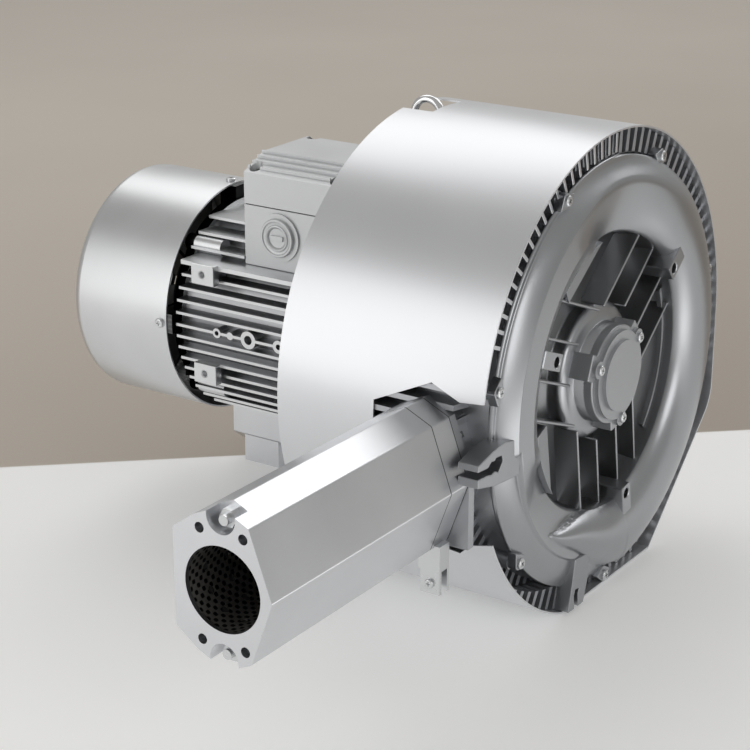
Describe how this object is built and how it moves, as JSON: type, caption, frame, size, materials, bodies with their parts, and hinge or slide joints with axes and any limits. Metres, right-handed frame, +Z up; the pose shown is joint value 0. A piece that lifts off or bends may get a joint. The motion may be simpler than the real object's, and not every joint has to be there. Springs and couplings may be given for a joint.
{
  "type": "side channel blower",
  "caption": "Two-stage side channel blower with a round finned casing in a sheet shroud, a flanged motor with fan cowl and terminal box, and hexagonal silencers.",
  "frame": {"origin": "on the floor plane, at the centre of the four foot screws", "axes": "+Y along the shaft from the front cover to the fan cowl, -X towards the intake silencer, +Z up"},
  "size_m": [0.6815, 0.528, 0.418],
  "materials": {
    "cast_grey": "bead blasted casting",
    "cast_dark": "raw casting",
    "cast_bright": "satin casting",
    "sheet": "satin rolled sheet",
    "motor_silver": "silver paint",
    "light_grey": "light grey paint",
    "machined": "machined",
    "zinc": "zinc plated",
    "bright_steel": "polished",
    "steel": "turned",
    "dark_steel": "black oxide",
    "lamination": "stacked sheet",
    "copper": "varnished copper",
    "bronze": "turned",
    "foam": "open foam",
    "gasket": "matt sheet",
    "rubber": "matt",
    "black_plastic": "moulded"
  },
  "bodies": {
    "housing": {"adapter_screws": "zinc", "bearing_cap": "cast_bright", "bearing_cap_screws": "zinc", "blanking_plug": "light_grey", "casing_screws": "zinc", "cover_screws": "zinc", "cowl_screws": "zinc", "drive_bearing_outer_ring": "bright_steel", "earth_clip": "zinc", "earth_screw": "zinc", "eyebolt": "bright_steel", "fan_bearing_outer_ring": "bright_steel", "fan_cowl": "motor_silver", "front_bearing_outer_ring": "bright_steel", "front_casing": "cast_dark", "front_cover": "cast_grey", "intake_adapter": "cast_bright", "intake_foam": "foam", "intake_silencer": "cast_bright", "intake_tube": "dark_steel", "interstage_seal": "bronze", "lid_screws": "zinc", "motor_frame": "motor_silver", "motor_screws": "zinc", "outlet_adapter": "cast_bright", "outlet_foam": "foam", "outlet_silencer": "cast_bright", "outlet_tube": "dark_steel", "rear_casing": "cast_dark", "rear_foot": "cast_bright", "rear_shield": "motor_silver", "shaft_seals": "rubber", "shield_screws": "zinc", "shroud": "sheet", "silencer_gaskets": "gasket", "silencer_nuts": "zinc", "silencer_studs": "zinc", "stator_core": "lamination", "terminal_board": "black_plastic", "terminal_box": "light_grey", "terminal_gasket": "gasket", "terminal_lid": "light_grey", "windings": "copper"},
    "rotor": {"shaft": "steel", "front_impeller": "machined", "rear_impeller": "machined", "impeller_keys": "steel", "impeller_nut": "steel", "lock_washer": "steel", "spacer_sleeves": "steel", "rotor_core": "lamination", "cooling_fan": "black_plastic", "drive_bearing_inner_ring": "bright_steel", "fan_bearing_inner_ring": "bright_steel", "front_bearing_inner_ring": "bright_steel"},
    "front_cage": {"front_bearing_balls": "bright_steel"},
    "drive_cage": {"drive_bearing_balls": "bright_steel"},
    "fan_cage": {"fan_bearing_balls": "bright_steel"}
  },
  "joints": [
    {"name": "rotor_spin", "type": "hinge", "parent": "housing", "child": "rotor", "pos_m": [-0.014, 0.01, 0.2], "axis": [0, 1, 0], "continuous": true},
    {"name": "front_cage_spin", "type": "hinge", "parent": "housing", "child": "front_cage", "pos_m": [-0.014, -0.0845, 0.2], "axis": [0, 1, 0], "continuous": true},
    {"name": "drive_cage_spin", "type": "hinge", "parent": "housing", "child": "drive_cage", "pos_m": [-0.014, 0.0835, 0.2], "axis": [0, 1, 0], "continuous": true},
    {"name": "fan_cage_spin", "type": "hinge", "parent": "housing", "child": "fan_cage", "pos_m": [-0.014, 0.2995, 0.2], "axis": [0, 1, 0], "continuous": true}
  ],
  "couplings": [
    {"joint": "front_cage_spin", "follows": "rotor_spin", "ratio": 0.4},
    {"joint": "drive_cage_spin", "follows": "rotor_spin", "ratio": 0.4},
    {"joint": "fan_cage_spin", "follows": "rotor_spin", "ratio": 0.4}
  ]
}
